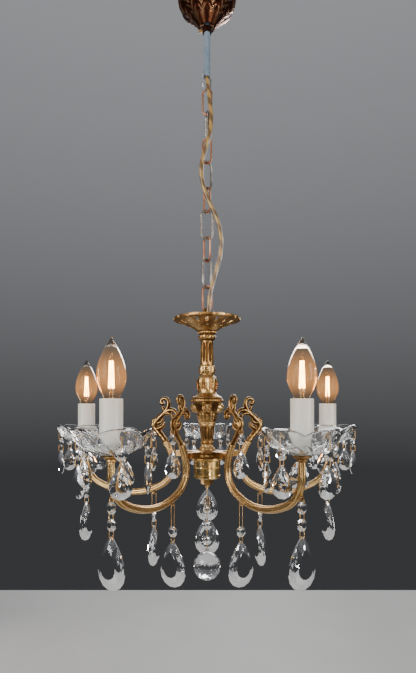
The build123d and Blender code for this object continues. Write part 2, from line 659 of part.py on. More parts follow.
loops = [item for item in scroll_strand if item[0] not in (bead.part, small_drop)]
glasses = [item for item in scroll_strand if item[0] in (bead.part, small_drop)]
for node, on_pan, on_scroll in (("small_drops", pan_glass, glasses), ("drop_pins", pan_pins, loops)):
    with BuildPart() as group:
        for heading, pan_turn in zip(ARM_HEADINGS, PAN_TURNS):
            place_all(on_scroll, turned(SCROLL_EYE_AT, 0, 0, heading))
            at_end = turned(ARM_REACH, 0, 0, heading)
            for k in range(PETALS):
                place_all(on_pan, at_end * turned(0, 0, 0, pan_turn - heading + 360 / PETALS * k))
    write(node, group)

# ---------------------------------------------------------------- the flex laced through the chain
FLEX_POINTS = [
    (0, 0, -128), (0, 0, -144), (2.2, -7, -163), (4, -11.5, -184), (6.5, -13.5, -206),
    (5, -13.5, -232), (-3, -12.5, -258), (-9.5, -12.5, -282), (-7, -12.5, -308), (3, -12.5, -334),
    (15, -12.5, -358), (21.5, -12.5, -386), (20, -12.5, -414), (12, -12.5, -440),
    (4, -10, -468), (1.5, -8.9, -496), (1.5, -8.9, -524),
]


def corner_radii(points):
    """The largest arc that each corner's two runs allow."""
    ends = [Vector(*p) for p in points]
    radii = []
    for a, b, c in zip(ends, ends[1:], ends[2:]):
        turn = math.radians((b - a).get_angle(c - b))
        radii.append(0.45 * min((b - a).length, (c - b).length) / math.tan(turn / 2))
    return radii


radii = corner_radii(FLEX_POINTS)
print("flex radii", [round(r) for r in radii])
with BuildPart() as flex:
    with BuildLine() as route:
        FilletPolyline(*FLEX_POINTS, radius=radii)
    with BuildSketch(Plane(origin=FLEX_POINTS[0], z_dir=(0, 0, -1))):
        Circle(FLEX_R)
    sweep()
long = route.wire().length
fullness = flex.part.volume / (math.pi * FLEX_R ** 2 * long)
print(f"flex {long:.0f} mm, volume / (section * length) = {fullness:.4f}")
write("flex", flex)
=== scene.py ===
# %% [markdown]
# # A brass chandelier with cut crystal drops
# The engineering model of the chandelier arrives as a fixed frame: every casting, link and
# lamp is already at its real size and place. This lesson gives it its looks, one piece and
# one finish at a time. All lengths are metres, and z = 0 is the ceiling.

# %% Load the frame
import math
import bpy
import numpy as np
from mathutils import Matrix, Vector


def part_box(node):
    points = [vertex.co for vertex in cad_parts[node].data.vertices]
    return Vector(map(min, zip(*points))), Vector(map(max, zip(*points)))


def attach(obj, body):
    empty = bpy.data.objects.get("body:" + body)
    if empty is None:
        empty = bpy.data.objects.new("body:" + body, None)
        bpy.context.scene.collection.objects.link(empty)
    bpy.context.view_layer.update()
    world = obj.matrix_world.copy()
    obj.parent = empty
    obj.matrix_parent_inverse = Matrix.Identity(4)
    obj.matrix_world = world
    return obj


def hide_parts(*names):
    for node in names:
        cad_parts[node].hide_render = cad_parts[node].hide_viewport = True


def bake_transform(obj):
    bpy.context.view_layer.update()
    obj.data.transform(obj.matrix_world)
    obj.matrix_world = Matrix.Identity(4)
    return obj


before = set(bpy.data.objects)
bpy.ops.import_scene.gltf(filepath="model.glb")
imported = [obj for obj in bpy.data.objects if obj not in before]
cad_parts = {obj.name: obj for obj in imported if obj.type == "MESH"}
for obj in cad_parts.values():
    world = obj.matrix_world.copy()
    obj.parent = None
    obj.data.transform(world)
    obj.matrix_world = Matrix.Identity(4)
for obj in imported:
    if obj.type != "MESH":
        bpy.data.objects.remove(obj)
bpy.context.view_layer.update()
MM = 0.001

# %% [markdown]
# The camera stands level in front of the lamp and looks along +Y. More of the model is above
# the camera than below it, so the lens is shifted instead of tilted, which keeps every
# hanging strand upright.

# %% Camera
camera = bpy.data.objects.new("camera", bpy.data.cameras.new("camera"))
bpy.context.scene.collection.objects.link(camera)
camera.location = (0.0015, -0.741, -0.650)
camera.rotation_euler = (math.radians(90), 0, 0)
camera.data.lens = 26.4
camera.data.sensor_width = 36
camera.data.shift_y = 0.118
bpy.context.scene.camera = camera
print("camera lens", round(camera.data.lens, 1), "mm, shift", round(camera.data.shift_y, 3))

# %% [markdown]
# Sizes that several pieces share. They repeat the design's own driving dimensions, and
# heights come from the frame's boxes, so each finish sits on the casting it belongs to.

# %% Shared sizes
ARM_HEADINGS = (-122.5, -57.5, 17.0, 90.0, 163.0)
PAN_TURNS = (-65.0, -132.0, -36.0, -54.0, -144.0)
ARM_REACH = 204.5
REACH = ARM_REACH * MM
PETALS = 5
top_of = {name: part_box(name)[1].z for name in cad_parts}
bottom_of = {name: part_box(name)[0].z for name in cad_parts}
PAN_TOP, PAN_BOTTOM = top_of["pan_1"], bottom_of["pan_1"]
SLEEVE_TOP = top_of["candle_1"]
SPIDER = top_of["spider"]
print("pan", round(PAN_BOTTOM, 4), round(PAN_TOP, 4), "spider", round(SPIDER, 4))

# %% [markdown]
# Shader maths reads best as plain expressions. This small class wraps a socket, so that
# 1 - mask * 0.5 adds the Math nodes by itself; everything else comes from Shader.node.


# %% A small language for materials
class Value:
    """A number on its way through a material: + - * / and ** on it add Math nodes."""

    def __init__(self, tree, socket):
        self.tree, self.socket = tree, socket

    def math(self, operation, other, swapped=False):
        node = self.tree.nodes.new("ShaderNodeMath")
        node.operation = operation
        for slot, value in zip(node.inputs, (other, self) if swapped else (self, other)):
            plug(self.tree, slot, value)
        return Value(self.tree, node.outputs[0])

    def __add__(self, other):
        return self.math("ADD", other)

    def __sub__(self, other):
        return self.math("SUBTRACT", other)

    def __rsub__(self, other):
        return self.math("SUBTRACT", other, swapped=True)

    def __mul__(self, other):
        return self.math("MULTIPLY", other)

    def __truediv__(self, other):
        return self.math("DIVIDE", other)

    def __pow__(self, other):
        return self.math("POWER", other)

    __radd__, __rmul__ = __add__, __mul__


def plug(tree, slot, value):
    """Sets a socket to a number or colour, or links what a Value carries to it."""
    if isinstance(value, Value):
        tree.links.new(value.socket, slot)
    else:
        slot.default_value = value


class Shader:
    """A new material with one Principled shader."""

    def __init__(self, name, **constants):
        self.material = bpy.data.materials.new(name)
        self.material.use_nodes = True
        self.tree = self.material.node_tree
        self.shader = self.tree.nodes["Principled BSDF"]
        self.set(**constants)

    def set(self, **inputs):
        for name, value in inputs.items():
            plug(self.tree, self.shader.inputs[name.replace("_", " ")], value)

    def node(self, kind, output=0, settings=(), **inputs):
        node = self.tree.nodes.new(kind)
        for name, value in dict(settings).items():
            setattr(node, name, value)
        for name, value in inputs.items():
            plug(self.tree, node.inputs[name.replace("_", " ")], value)
        return Value(self.tree, node.outputs[output])

    def place(self):
        return self.node("ShaderNodeTexCoord", 3)

    def noise(self, scale, detail=4.0, at=None):
        return self.node("ShaderNodeTexNoise", 0, Vector=at or self.place(), Scale=scale, Detail=detail)

    def fade(self, value, low, high):
        """0 below low and 1 above high."""
        return self.node("ShaderNodeMapRange", 0, {"interpolation_type": "SMOOTHSTEP"},
                         Value=value, From_Min=low, From_Max=high)

    def blend(self, mask, first, second):
        """One colour where the mask is 0, the other where it is 1."""
        node = self.tree.nodes.new("ShaderNodeMix")
        node.data_type = "RGBA"
        for index, value in ((0, mask), (6, first), (7, second)):
            plug(self.tree, node.inputs[index], value)
        return Value(self.tree, node.outputs[2])

    def bump(self, height, strength, distance):
        self.set(Normal=self.node("ShaderNodeBump", 0, Height=height, Strength=strength,
                                  Distance=distance))


# %% [markdown]
# Old brass isn't one colour. Hands and cloths keep the high places bright, and the recesses
# fill with dark wax and dirt. Pieces that this script shapes carry an attribute called wear,
# 0 in a recess and 1 on a high place; the plain castings get soft stains instead.


# %% Metals
def metal(name, dark, middle, bright, rough, worn=False, grain=900.0, lumps=0.35):
    """An aged metal: stains, a fine grain and, where the piece has it, worn relief."""
    made = Shader(name, Metallic=1.0)
    stains = made.fade(made.noise(55.0, 6.0), 0.35, 0.68)
    specks = made.noise(grain, 3.0)
    if worn:
        wear = made.node("ShaderNodeAttribute", 2, {"attribute_name": "wear"})
        high = made.fade(wear + 0.25 * (stains - 0.5), 0.25, 0.85)
    else:
        high = stains * 0.6 + 0.25
    body = made.blend(made.fade(high, 0.0, 0.55), dark, middle)
    made.set(Base_Color=made.blend(made.fade(high, 0.5, 1.0) * 0.8, body, bright),
             Roughness=rough + 0.22 * (1 - high) + 0.08 * (specks - 0.5))
    made.bump(specks + 0.6 * made.noise(160.0, 5.0), lumps, 0.0003)
    return made.material


def rgb(r, g, b):
    return (r, g, b, 1.0)


brass_colours = (rgb(0.10, 0.048, 0.016), rgb(0.38, 0.205, 0.068), rgb(0.74, 0.48, 0.20))
brass = metal("aged_brass", *brass_colours, 0.30)
worn_brass = metal("aged_brass_relief", *brass_colours, 0.27, worn=True)
band_brass = metal("polished_band", rgb(0.42, 0.24, 0.07), rgb(0.74, 0.49, 0.18),
                   rgb(0.92, 0.70, 0.33), 0.17, lumps=0.12)
pin_brass = metal("pin_brass", rgb(0.30, 0.16, 0.06), rgb(0.62, 0.37, 0.15), rgb(0.85, 0.6, 0.3), 0.28)
copper = metal("copper_wire", rgb(0.16, 0.055, 0.03), rgb(0.50, 0.21, 0.11), rgb(0.78, 0.42, 0.26), 0.30)
silver = metal("antique_silver", rgb(0.07, 0.06, 0.05), rgb(0.34, 0.30, 0.26), rgb(0.66, 0.62, 0.56),
               0.34, lumps=0.9)
steel = metal("zinc_plate", rgb(0.30, 0.30, 0.31), rgb(0.52, 0.52, 0.53), rgb(0.70, 0.70, 0.71), 0.30)
bronze = metal("dark_bronze", rgb(0.045, 0.014, 0.008), rgb(0.22, 0.075, 0.035), rgb(0.72, 0.40, 0.22),
               0.25, worn=True)
print("eight metals")

# %% [markdown]
# The tube is lacquered, the candle sleeves are satin plastic that turns yellower towards the top,
# and the flex is clear gold PVC over twisted conductors.


# %% Lacquer, sleeves and flex
def painted(name, first, second, rough, scale, coat=0.0, fine=700.0):
    made = Shader(name, Coat_Weight=coat, Coat_Roughness=0.12)
    cloud = made.fade(made.noise(scale, 5.0), 0.3, 0.7)
    specks = made.noise(fine, 3.0)
    made.set(Base_Color=made.blend(cloud, first, second), Roughness=rough + 0.1 * (specks - 0.5))
    made.bump(specks, 0.12, 0.0002)
    return made.material


grey_lacquer = painted("grey_lacquer", rgb(0.17, 0.22, 0.28), rgb(0.22, 0.28, 0.34), 0.32, 90.0, 0.4)
white_plastic = painted("white_plastic", rgb(0.78, 0.78, 0.74), rgb(0.84, 0.84, 0.81), 0.45, 60.0)


def ivory():
    """Satin ivory: yellower towards the top, with faint smears."""
    made = Shader("ivory_sleeve", Subsurface_Weight=0.12, Subsurface_Radius=(0.004, 0.003, 0.002),
                  Coat_Weight=0.25, Coat_Roughness=0.25)
    height = made.node("ShaderNodeSeparateXYZ", 2, Vector=made.place())
    top_tint = made.fade(height, SLEEVE_TOP - 30 * MM, SLEEVE_TOP)
    smears = made.noise(45.0, 5.0)
    made.set(Base_Color=made.blend(top_tint * 0.6 + 0.3 * smears, rgb(0.80, 0.77, 0.72), rgb(0.84, 0.74, 0.58)),
             Roughness=0.38 + 0.12 * (smears - 0.5))
    made.bump(smears, 0.15, 0.0004)
    return made.material


def gold_flex():
    """Clear gold skin over a slow twist of conductors, drawn along the flex's own length."""
    made = Shader("gold_flex", Coat_Weight=0.6, Coat_Roughness=0.1)
    along = made.node("ShaderNodeUVMap", 0, {"uv_map": "along"})
    u = made.node("ShaderNodeSeparateXYZ", 0, Vector=along)
    v = made.node("ShaderNodeSeparateXYZ", 1, Vector=along)
    twist = (v * (2 * math.pi) + u * 260.0).math("SINE", 0.0)
    core = made.fade(twist, -0.6, 0.7)
    made.set(Base_Color=made.blend(core, rgb(0.15, 0.08, 0.02), rgb(0.42, 0.25, 0.07)),
             Roughness=0.26 + 0.12 * (1 - core))
    made.bump(core, 0.25, 0.0003)
    return made.material


sleeve_ivory = ivory()
flex_gold = gold_flex()
print("made", sleeve_ivory.name, "and", flex_gold.name)

# %% [markdown]
# Lead crystal bends light more than window glass, so its index of refraction is 1.6. Its
# facets are real geometry. The pressed pans are softer glass with a faint ripple, and the
# bulbs have thin clear envelopes round glowing rods.


# %% Glass and light
def glass(name, tint, ior, ripple, scale):
    made = Shader(name, Transmission_Weight=1.0, IOR=ior)
    waves = made.noise(scale, 3.0)
    made.set(Base_Color=made.blend(waves, tint, rgb(1.0, 1.0, 1.0)), Roughness=0.004 + 0.012 * waves)
    made.bump(waves, ripple, 0.0004)
    return made.material


crystal = glass("lead_crystal", rgb(0.97, 0.985, 1.0), 1.60, 0.02, 90.0)
pressed_glass = glass("pressed_glass", rgb(0.95, 0.975, 0.98), 1.52, 0.25, 170.0)


def lit_glass():
    """A clear envelope with the lamp's warmth in it, strongest beside the rods."""
    made = Shader("bulb_glass", Transmission_Weight=1.0, IOR=1.14, Emission_Strength=0.15)
    height = made.node("ShaderNodeSeparateXYZ", 2, Vector=made.place())
    rods = made.fade(height, SLEEVE_TOP, SLEEVE_TOP + 22 * MM)
    rods = rods * (1 - made.fade(height, SLEEVE_TOP + 28 * MM, SLEEVE_TOP + 62 * MM))
    haze = made.noise(60.0, 3.0)
    made.set(Base_Color=made.blend(haze, rgb(1.0, 0.86, 0.66), rgb(1.0, 0.96, 0.88)),
             Roughness=0.004 + 0.01 * haze,
             Emission_Color=made.blend(rods, rgb(0.02, 0.007, 0.001), rgb(1.0, 0.40, 0.09)))
    return made.material


bulb_glass = lit_glass()


def glowing():
    """A lamp rod: brightest along its middle, deeper orange towards its ends."""
    made = Shader("glowing_rod", Emission_Strength=22.0, Roughness=0.5)
    flicker = made.noise(400.0, 2.0)
    made.set(Base_Color=made.blend(flicker, rgb(0.9, 0.6, 0.2), rgb(1.0, 0.8, 0.4)),
             Emission_Color=made.blend(flicker, rgb(1.0, 0.40, 0.09), rgb(1.0, 0.52, 0.16)))
    return made.material


rod_glow = glowing()
print("made", crystal.name, pressed_glass.name, bulb_glass.name, rod_glow.name)

# %% [markdown]
# The castings that already have their true shape only need a finish. A dictionary says which
# node gets which.

# %% Finish the plain castings
finishes = {
    "ceiling_bracket": steel, "hanging_tube": grey_lacquer, "terminal_block": white_plastic,
    "bail": steel, "canopy_collar": bronze, "grub_screw": pin_brass, "chain_plain_links": copper,
    "chain_beaded_links": silver, "crown_eye": brass, "gallery": brass, "spider": brass,
    "hub_cup": band_brass, "bottom_nut": brass, "centre_rod": steel, "drip_cups": brass,
    "lampholders": white_plastic, "drop_pins": pin_brass,
}
finishes.update({f"candle_{n}": sleeve_ivory for n in range(1, 6)})
for node, finish in finishes.items():
    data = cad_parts[node].data
    data.materials.clear()
    data.materials.append(finish)
print(len(finishes), "castings finished")


# %% [markdown]
# These helpers make most meshes here. Rings of points join into a skin, several parts join
# into one mesh, a smooth line runs through chosen points, and a shape turns to its arm.


# %% Mesh helpers
def new_piece(name, verts, faces, material, wear=None, smooth=True):
    """A mesh object at the origin, with its place in its vertices."""
    data = bpy.data.meshes.new(name)
    data.from_pydata([tuple(v) for v in verts], [], faces)
    data.validate()
    data.materials.append(material)
    if wear is not None:
        data.attributes.new("wear", "FLOAT", "POINT").data.foreach_set("value", np.array(wear, np.float32))
    data.polygons.foreach_set("use_smooth", [smooth] * len(data.polygons))
    piece = bpy.data.objects.new(name, data)
    bpy.context.scene.collection.objects.link(piece)
    return piece


def grid_faces(rows, columns, first=0):
    """The faces between rings of points, each ring closed on itself."""
    faces = []
    for i in range(rows - 1):
        for j in range(columns):
            a, b = i * columns + j, i * columns + (j + 1) % columns
            faces.append((first + a, first + b, first + b + columns, first + a + columns))
    return faces


def skin(rings):
    """Points and faces of stacked rings, closed by a point in the middle of each end."""
    rows, columns = len(rings), len(rings[0])
    verts = np.concatenate([np.reshape(rings, (-1, 3)), [np.mean(rings[0], 0)], [np.mean(rings[-1], 0)]])
    faces, start, end = grid_faces(rows, columns), rows * columns, rows * columns + 1
    for j in range(columns):
        k, last = (j + 1) % columns, (rows - 1) * columns
        faces.append((start, k, j))
        faces.append((end, last + j, last + k))
    return verts, faces


def joined(parts):
    """One mesh's points and faces from several."""
    points, faces = np.zeros((0, 3)), []
    for more, extra in parts:
        faces += [tuple(len(points) + i for i in face) for face in extra]
        points = np.concatenate([points, more])
    return points, faces


def smooth_line(points, count):
    """A smooth line through the points, evenly spaced: Catmull-Rom."""
    p = np.array([2 * np.subtract(points[0], points[1]) + points[1], *points,
                  2 * np.subtract(points[-1], points[-2]) + points[-2]], float)
    fine = []
    for a, b, c, d in zip(p, p[1:], p[2:], p[3:]):
        for t in np.linspace(0, 1, 24, endpoint=False):
            fine.append(0.5 * (2 * b + (c - a) * t + (2 * a - 5 * b + 4 * c - d) * t * t
                               + (3 * b - a - 3 * c + d) * t ** 3))
    fine = np.array([*fine, p[-2]])
    run = np.concatenate([[0], np.cumsum(np.linalg.norm(np.diff(fine, axis=0), axis=1))])
    at = np.linspace(0, run[-1], count)
    return np.stack([np.interp(at, run, fine[:, k]) for k in range(fine.shape[1])], 1)


def about_z(points, heading, shift=(0, 0, 0)):
    """Points turned about the upright axis, then moved."""
    a = math.radians(heading)
    turn = np.array([[math.cos(a), -math.sin(a), 0], [math.sin(a), math.cos(a), 0], [0, 0, 1]])
    return np.asarray(points) @ turn.T + np.array(shift)


def lamp_piece(piece, *nodes):
    """Rides on the lamp and stands for its castings."""
    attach(piece, "lamp")
    if nodes:
        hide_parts(*nodes)
    return piece


# %% [markdown]
# The column, urn and vase are castings with flutes, leaves and scrolled masks. Each is
# turned from its outline in millimetres, and a relief function pushes its surface in and
# out. The same relief, scaled, is the piece's wear.


# %% Turned castings with relief
def turned_relief(name, node, outline, relief, rows, columns, material=worn_brass):
    """outline: (radius, depth below the node's top) in mm; relief(angle, depth, radius) in mm."""
    line = smooth_line(outline, rows)
    angles = np.linspace(0, 2 * math.pi, columns, endpoint=False)
    rings, wear = [], []
    for radius, depth in line:
        push = np.array([relief(a, depth, radius) for a in angles])
        r = (radius + push) * MM
        z = np.full(columns, top_of[node] - depth * MM)
        rings.append(np.stack([r * np.cos(angles), r * np.sin(angles), z], 1))
        wear.extend(0.55 + 0.45 * push)
    verts, faces = skin(rings[::-1])
    rows_wear = np.array(wear).reshape(rows, columns)[::-1].ravel()
    return new_piece(name, verts, faces, material, [*rows_wear, 0.5, 0.5])


def within(depth, low, high, soft=1.2):
    """1 between two depths, fading to 0 over soft at both ends."""
    return float(np.clip(min(depth - low, high - depth) / soft, 0, 1))


def capital_relief(a, depth, radius):
    beads = 0.8 * abs(math.cos(10 * a)) * within(depth, 0.5, 4.5)
    leaves = 0.9 * abs(math.cos(5 * a)) ** 0.6 * within(depth, 6.5, 13)
    return beads + leaves - 0.5


def column_relief(a, depth, radius):
    flutes = -1.3 * abs(math.cos(6 * a)) ** 1.5 * within(depth, 2, 33, 4)
    collar = 0.45 * (1 + math.cos(10 * a)) * math.sin(math.pi * np.clip((depth - 37) / 12, 0, 1)) ** 0.7
    rib = 0.8 * abs(math.cos(8 * a)) ** 4
    tip = (depth - 52) / 23
    sharpness = 0.6 + 1.6 * np.clip(tip, 0, 1)
    leaves = (1.5 * abs(math.cos(4 * a)) ** sharpness - 0.9 + rib) * within(depth, 52, 75, 3)
    rim = 0.5 * abs(math.cos(16 * a)) * within(depth, 79, 85)
    return flutes + collar + leaves + rim


def urn_relief(a, depth, radius):
    near = 1 - abs(math.sin(2 * a))
    mask = near ** 1.4 * within(depth, 6, 22, 4)
    curls = 1.3 * near * math.sin(0.95 * (depth - 5)) * within(depth, 6, 22, 3)
    recess = -2.6 * (1 - near) ** 2 * within(depth, 6, 19, 3)
    gadroons = 0.9 * abs(math.cos(8 * a)) * within(depth, 21, 33, 3) - 0.5 * within(depth, 21, 33)
    beads = 0.5 * abs(math.cos(18 * a)) * within(depth, 1, 4.5)
    dentils = 0.5 * abs(math.cos(14 * a)) * within(depth, 34.6, 37.5, 0.5)
    return 7.2 * mask + curls + recess + gadroons + beads + dentils


def vase_relief(a, depth, radius):
    flutes = -0.9 * abs(math.cos(7 * a)) ** 1.4 * within(depth, 4, 25, 3)
    foot = 0.7 * abs(math.cos(6 * a)) * within(depth, 31, 38)
    beads = 0.4 * abs(math.cos(14 * a)) * within(depth, 0.2, 3.2)
    return flutes + foot + beads


castings = {
    "capital": ([(13.2, 0), (13.2, 4), (12.0, 6), (12.8, 8), (12.4, 11), (9.9, 15)], capital_relief, 40, 160),
    "column": ([(9.6, 0), (9.8, 10), (10.3, 30), (10.6, 36), (11.6, 38), (11.3, 48), (10.4, 50),
                (13.2, 56), (14.2, 61), (13.8, 67), (13.4, 75), (15.5, 80), (22.2, 84.4), (22.4, 86.4)],
               column_relief, 130, 192),
    "urn": ([(23.5, 0), (24.3, 1.5), (24.0, 4.5), (19, 6), (19.4, 9), (17.2, 15), (14.8, 26), (13, 33.6),
             (11.8, 35), (11.8, 37.4)], urn_relief, 90, 208),
    "lower_vase": ([(11.6, 0), (11.6, 3), (11.1, 4), (10.6, 14), (8.9, 25.5), (9.6, 26.5), (9.6, 29),
                    (8.5, 30), (9.5, 34), (13.6, 39.4), (13.9, 40.4)], vase_relief, 80, 168),
}
for node, (outline, relief, rows, columns) in castings.items():
    lamp_piece(turned_relief(f"{node}_casting", node, outline, relief, rows, columns), node)


def moulding_relief(a, depth, radius):
    return 0.5 * abs(math.cos(10 * a)) * within(depth, 4.2, 8, 0.6) * (radius > 20)


lamp_piece(turned_relief("spider_moulding", "spider",
                         [(8, -0.4), (21.5, -0.4), (24.4, 0.6), (24.8, 2.2), (23.6, 3.3),
                          (25.4, 4.6), (25.8, 6.4), (24.4, 8.2), (10, 8.45)],
                         moulding_relief, 60, 160))
print("column cast in", len(castings) + 1, "pieces")

# %% [markdown]
# The canopy is a spun bell with lobes like folded petals and leaves pressed into it. It is a
# shell, so its outer and inner skins are joined round the open rim at the ceiling.


# %% Canopy
CANOPY_WALL = 1.2
FOLD_HEIGHT = 2.2


def canopy_shell():
    outline = smooth_line([(50, 0), (47.2, 4), (45.6, 14), (43.9, 26), (40.6, 38), (28.6, 49), (18.2, 60),
                           (11.8, 68)], 90)
    angles = np.linspace(0, 2 * math.pi, 220, endpoint=False)
    rings, wear = [], []
    for wall in (0.0, CANOPY_WALL):
        for radius, depth in outline if wall == 0 else outline[::-1]:
            fold = np.abs(np.cos(5 * angles)) ** 0.55 - 0.75
            lobes = FOLD_HEIGHT * (fold - 0.25) * within(depth, 6, 60, 10)
            veins = 0.35 * np.sin(0.9 * depth + 6 * np.abs(np.sin(5 * angles))) * within(depth, 8, 58, 6)
            r = np.maximum(radius + lobes + veins - wall, 5.4) * MM
            z = np.full(len(angles), -max(depth - wall * (depth > 2), 0) * MM)
            rings.append(np.stack([r * np.cos(angles), r * np.sin(angles), z], 1))
            wear.extend(0.45 + 0.9 * (fold + veins))
    rows, columns = len(rings), len(angles)
    faces = grid_faces(rows, columns)
    for j in range(columns):
        k, last = (j + 1) % columns, (rows - 1) * columns
        faces.append((last + j, last + k, k, j))
    faces = [face[::-1] for face in faces]
    return new_piece("canopy_bell", np.reshape(rings, (-1, 3)), faces, bronze, wear)


bell = canopy_shell()
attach(bell, "canopy_set")
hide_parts("canopy")
print("canopy bell of", len(bell.data.polygons), "faces")


# %% [markdown]
# An arm is a reeded bar: three raised ribs run along its length. A lobed ring is swept along
# the arm's middle line, which is straight at both ends and made of arcs between them.


# %% Reeded arms
def sweep_rings(line, ring_of):
    """Rings across a line in the XZ plane; ring_of(s, angles) gives (in-plane, sideways) radii."""
    angles = np.linspace(0, 2 * math.pi, 36, endpoint=False)
    ahead = np.gradient(line, axis=0)
    ahead /= np.linalg.norm(ahead, axis=1)[:, None]
    rings = []
    for s, (point, t) in enumerate(zip(line, ahead)):
        flat, side = ring_of(s / (len(line) - 1), angles)
        normal = np.array([-t[1], t[0]])
        xz = point + np.outer(flat, normal)
        rings.append(np.stack([xz[:, 0], side, xz[:, 1]], 1))
    return rings


def arc(centre, radius, start, end, count):
    a = np.radians(np.linspace(start, end, count))
    return np.stack([centre[0] + radius * np.cos(a), centre[1] + radius * np.sin(a)], 1)


FOOT_X, LOW_X, LOW_Z = 54.5, 125, -66.8
FOOT_BEND, SWEEP_BEND, RISE_BEND = 36, 105, 130
SWEEP_TURN, RISE_TURN = math.radians(30), math.radians(25)
ARM_EYE_X, EYE_DROP, EYE_HOOK = 86.0, 6.9, 2.2
ARM_STEPS = 150

tight = (ARM_REACH - LOW_X - RISE_BEND * math.sin(RISE_TURN)) / (1 - math.sin(RISE_TURN))
rise_z = LOW_Z + RISE_BEND * (1 - math.cos(RISE_TURN))
sweep_z = LOW_Z + SWEEP_BEND * (1 - math.cos(SWEEP_TURN))
foot = sweep_z + FOOT_BEND * math.cos(SWEEP_TURN)
end_centre = (ARM_REACH - tight, rise_z + tight * math.cos(RISE_TURN))
pan_seat = (PAN_BOTTOM - SPIDER) / MM
arm_line = np.concatenate([
    smooth_line([(66.5, 13), (59, -1.5), (54.9, foot + 5), (FOOT_X, foot)], 24)[:-1],
    arc((FOOT_X + FOOT_BEND, foot), FOOT_BEND, 180, 240, 22)[:-1],
    arc((LOW_X, LOW_Z + SWEEP_BEND), SWEEP_BEND, 240, 270, 22)[:-1],
    arc((LOW_X, LOW_Z + RISE_BEND), RISE_BEND, 270, 295, 22)[:-1],
    arc(end_centre, tight, 295, 360, 26)[:-1],
    [(ARM_REACH, end_centre[1]), (ARM_REACH, pan_seat - 12), (ARM_REACH, pan_seat - 7)],
])
arm_line = smooth_line(arm_line[::2].tolist() + [(ARM_REACH, pan_seat - 7)], ARM_STEPS)


def reeded(s, angles):
    ribs = 0.9 * np.abs(np.cos(3 * angles)) - 0.45
    r = (4.55 + ribs) * (1 - 0.12 * max(0, s - 0.9) * 10)
    return r * np.cos(angles), r * np.sin(angles)


def raise_points(rings, heading):
    """From millimetres about the spider's top to metres in the lamp's frame."""
    points = np.reshape(rings, (-1, 3)) * MM + np.array([0, 0, SPIDER])
    return about_z(points, heading)


def add_eye(points, faces, centre, axis, ring_r=2.3, wire=0.8):
    """Adds a small cast eye to a mesh's points and faces, in millimetres."""
    first = len(points)
    u = np.linspace(0, 2 * math.pi, 20, endpoint=False)
    v = np.linspace(0, 2 * math.pi, 10, endpoint=False)
    ring = []
    for a in u:
        out = ring_r + wire * np.cos(v)
        across = wire * np.sin(v)
        if axis == "x":
            ring.append(np.stack([across, out * math.cos(a), out * math.sin(a)], 1))
        else:
            ring.append(np.stack([out * math.cos(a), -across, out * math.sin(a)], 1))
    eye = np.concatenate([*ring, ring[0]]) + np.array(centre)
    return np.concatenate([points, eye]), faces + grid_faces(21, 10, first)


candle_drop = math.sqrt((tight + EYE_DROP) ** 2 - tight ** 2)
arm_drop = math.sqrt((SWEEP_BEND + EYE_DROP) ** 2 - (LOW_X - ARM_EYE_X) ** 2)
candle_eye = (ARM_REACH, 0, end_centre[1] - candle_drop - EYE_HOOK)
arm_eye = (ARM_EYE_X, 0, LOW_Z + SWEEP_BEND - arm_drop)
scroll_eye = (ARM_EYE_X, 0, 33.0)
ribs_wear = 0.5 + 0.5 * np.abs(np.cos(3 * np.linspace(0, 2 * math.pi, 36, endpoint=False)))
for n, heading in enumerate(ARM_HEADINGS, 1):
    points, faces = skin(sweep_rings(arm_line, reeded))
    wear = np.concatenate([np.tile(ribs_wear, ARM_STEPS), [0.5, 0.5]])
    points, faces = add_eye(points, faces, candle_eye, "x")
    points, faces = add_eye(points, faces, arm_eye, "x")
    stalk = np.array([[ARM_REACH, candle_eye[2] + EYE_HOOK], [ARM_REACH, candle_eye[2] + 6.5]])
    stem_rings = sweep_rings(stalk, lambda s, a: (1.2 * np.cos(a), 1.2 * np.sin(a)))
    points, faces = joined([(points, faces), skin(stem_rings)])
    wear = np.concatenate([wear, np.full(len(points) - len(wear), 0.6)])
    arm = new_piece(f"reeded_arm_{n}", raise_points(points, heading), faces, worn_brass, wear)
    lamp_piece(arm, f"arm_{n}")
print("arm eyes at", [round(e[2], 1) for e in (candle_eye, arm_eye, scroll_eye)])

# %% [markdown]
# The scrolls over the arms are flat cast leaves that curl at their tips. Each is a swept
# strip with a raised rib down its middle: it swells where a leaf opens and thins to the curl.


# %% Scrolled leaves
LEAF_SWELL = 1.25


def leaf_strip(line, widths, lobes=0.0):
    """A leaf along a line in the XZ plane: widths in mm at even steps along it."""
    def ring(s, angles):
        half = np.interp(s, np.linspace(0, 1, len(widths)), widths)
        half = LEAF_SWELL * half * (1 + lobes * abs(math.sin(7 * math.pi * s)))
        groove = 1 - 0.22 * np.abs(np.sin(2 * angles)) ** 2
        return half * groove * np.cos(angles), (0.75 * half + 0.9) * groove * np.sin(angles)
    rings = sweep_rings(line, ring)
    groove = 1 - np.abs(np.sin(2 * np.linspace(0, 2 * math.pi, 36, endpoint=False)))
    return skin(rings), np.concatenate([np.tile(0.25 + 0.7 * groove, len(line)), [0.6, 0.6]])


